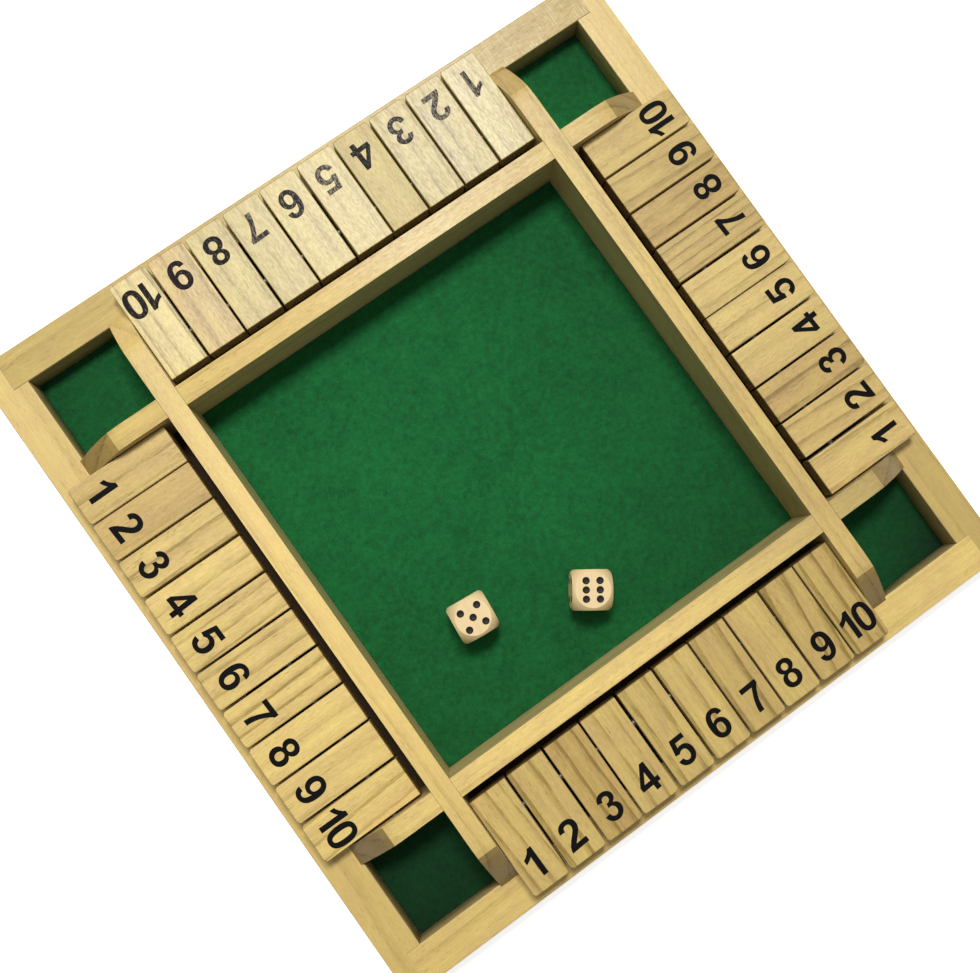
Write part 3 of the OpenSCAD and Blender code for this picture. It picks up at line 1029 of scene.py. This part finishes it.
def pip_cutter(name, half):
    """All the caps that hollow out a die's pips, as one object"""
    cap = pip_cap()
    shape = bmesh.new()
    top, front, right = DIE_FACES[name]
    faces = (
        (top, (0, 0)), (7 - top, (180, 0)), (front, (90, 0)), (7 - front, (-90, 0)),
        (right, (0, 90)), (7 - right, (0, -90)),
    )
    for value, (about_x, about_y) in faces:
        turn = Matrix.Rotation(math.radians(about_x), 4, "X")
        turn = turn @ Matrix.Rotation(math.radians(about_y), 4, "Y")
        for x, y in pip_places(value):
            place = turn @ Matrix.Translation((x, y, half + PIP_BALL - PIP_DEPTH))
            add_mesh(shape, cap, place, PAINTED)
    return put_in_scene("pip_cutter", mesh_from("pip_cutter", shape, (die_finish, pip_finish)))


def carve(made, cutter):
    """Hollows a cutter out of an object's mesh, before its other modifier"""
    cut = made.modifiers.new("pips", "BOOLEAN")
    cut.object = cutter
    cut.solver = "EXACT"
    made.modifiers.move(1, 0)
    carved = evaluated_mesh(made)
    made.modifiers.remove(cut)
    made.data = carved
    carved.name = made.name
    bpy.data.objects.remove(cutter)


def make_die(name):
    low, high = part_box(name)
    half = (high.z - low.z) / 2
    made = piece(f"{name}_wood", round_cube(half), (die_finish, pip_finish), name, name)
    carve(made, pip_cutter(name, half))
    plank = Plank(UP, Vector((1, 0, 0)), Vector((0, 0, 0)))
    plank.write(made.data)
    turn = Matrix.Rotation(math.radians(DIE_TURNS[name]), 4, "Z")
    made.data.transform(Matrix.Translation((low + high) / 2) @ turn)


# Felt

def make_felt(name):
    """A piece of felt, flat on the base, with a slightly uneven nap"""
    low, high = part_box(name)
    shape = bmesh.new()
    scale = Matrix.Diagonal((*(high - low).xy, 1, 1))
    spread = Matrix.Translation((low + high) / 2) @ scale
    cells = round((high.x - low.x) / FELT_CELL)
    bmesh.ops.create_grid(shape, x_segments=cells, y_segments=cells, size=0.5, matrix=spread)
    for vertex in shape.verts:
        vertex.co.z = high.z + (noise.noise(vertex.co * FELT_WAVES) - 1) * FELT_UNEVENNESS
    grown = bmesh.ops.extrude_face_region(shape, geom=list(shape.faces))
    for item in grown["geom"]:
        if isinstance(item, bmesh.types.BMVert):
            item.co.z = low.z
    bmesh.ops.recalc_face_normals(shape, faces=shape.faces)
    made = piece(f"{name}_cloth", shape, (felt,), "board", name)
    # Painted light: each piece of felt stores its own painted lightness
    store(made.data, "tone", "POINT", [[FELT_PAINTED_LIGHT[name]]] * len(made.data.vertices))


# Camera, floor and light

def make_camera():
    data = bpy.data.cameras.new("camera")
    data.sensor_fit = "HORIZONTAL"
    data.sensor_width = SENSOR_WIDTH
    data.lens = LENS
    data.shift_x, data.shift_y = FRAME_SHIFT
    data.clip_start = 0.01
    data.clip_end = 20
    back = (CAMERA_PLACE - CAMERA_AIM).normalized()
    right = Vector((math.cos(CAMERA_RIGHT_ANGLE), math.sin(CAMERA_RIGHT_ANGLE), 0))
    right.z = -right.dot(back) / back.z
    right.normalize()
    axes = Matrix((right, back.cross(right), back)).transposed().to_4x4()
    camera = put_in_scene("camera", data)
    camera.matrix_world = Matrix.Translation(CAMERA_PLACE) @ axes
    bpy.context.scene.camera = camera


def make_floor():
    finish = Finish("pale_floor")
    shown = finish.node("ShaderNodeLightPath", output="Is Camera Ray")
    mirrored = finish.node("ShaderNodeLightPath", output="Is Glossy Ray")
    through = finish.node("ShaderNodeLightPath", output="Is Transmission Ray")
    seen = finish.maths("ADD", shown + mirrored, through, clamp=True)
    material = finish.surface(
        Base_Color=(0.9, 0.9, 0.9, 1),
        Roughness=0.9,
        Specular_IOR_Level=0.0,
        Emission_Color=finish.scaled((1, 1, 1, 1), seen),
        Emission_Strength=0.7,
    )
    shape = bmesh.new()
    bmesh.ops.create_grid(shape, x_segments=1, y_segments=1, size=FLOOR_REACH)
    floor = put_in_scene("floor", mesh_from("floor", shape, (material,)))
    floor.location.z = -FLOOR_BELOW


def softbox(name, azimuth, elevation, distance, size, level, aim=(0, 0, 0), turn=0.0):
    """A lamp that gives a level white surface the brightness level. Azimuth 0 is +X"""
    azimuth, elevation = math.radians(azimuth), math.radians(elevation)
    direction = Vector((
        math.cos(azimuth) * math.cos(elevation),
        math.sin(azimuth) * math.cos(elevation),
        math.sin(elevation),
    ))
    data = bpy.data.lights.new(name, "AREA")
    data.shape = "RECTANGLE"
    data.size, data.size_y = size
    place = direction * distance
    back = (place - Vector(aim)).normalized()
    data.energy = level * (math.pi * distance) ** 2 / (math.sin(elevation) * back.dot(direction))
    axes = back.to_track_quat("Z", "Y").to_matrix().to_4x4()
    lamp = put_in_scene(name, data)
    lamp.matrix_world = Matrix.Translation(place) @ axes @ Matrix.Rotation(math.radians(turn), 4, "Z")


def make_world(level, mirrored_level):
    """A white background, that lights the board at level and shows in its gloss at mirrored_level"""
    world = bpy.data.worlds.new("pale_room")
    world.use_nodes = True
    tree = world.node_tree
    tree.nodes.clear()
    path = tree.nodes.new("ShaderNodeLightPath")
    shader = None
    for ray, strength in ((None, level), ("Is Glossy Ray", mirrored_level), ("Is Camera Ray", 1.0)):
        light = tree.nodes.new("ShaderNodeBackground")
        light.inputs["Color"].default_value = (1, 1, 1, 1)
        light.inputs["Strength"].default_value = strength
        if ray:
            choice = tree.nodes.new("ShaderNodeMixShader")
            tree.links.new(path.outputs[ray], choice.inputs[0])
            tree.links.new(shader, choice.inputs[1])
            tree.links.new(light.outputs[0], choice.inputs[2])
            light = choice
        shader = light.outputs[0]
    output = tree.nodes.new("ShaderNodeOutputWorld")
    tree.links.new(shader, output.inputs[0])
    bpy.context.scene.world = world


make_camera()
pine = lacquered_pine()
ink = number_ink()
felt = green_felt()
die_finish = die_wood()
pip_finish = pip_paint()
steel = drawn_steel()
plywood = base_plywood()

for side in SIDES:
    for number in range(1, TILES_PER_SIDE + 1):
        make_tile(side, number)
    make_divider(side)
    make_rail(side)
    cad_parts["rod_" + side].material_slots[0].material = steel
for name in DIE_TURNS:
    make_die(name)
for name in FELT_PAINTED_LIGHT:
    make_felt(name)
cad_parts["base_panel"].material_slots[0].material = plywood

make_floor()
softbox(
    "key", azimuth=69, elevation=65, distance=1.6, size=(0.34, 0.62), level=0.70,
    aim=(-1.3, 0.3, 0), turn=-22,
)
softbox("side", azimuth=112, elevation=66, distance=1.6, size=(0.5, 0.5), level=0.10)
make_world(level=0.22, mirrored_level=0.85)
bpy.context.scene.view_settings.view_transform = "Standard"
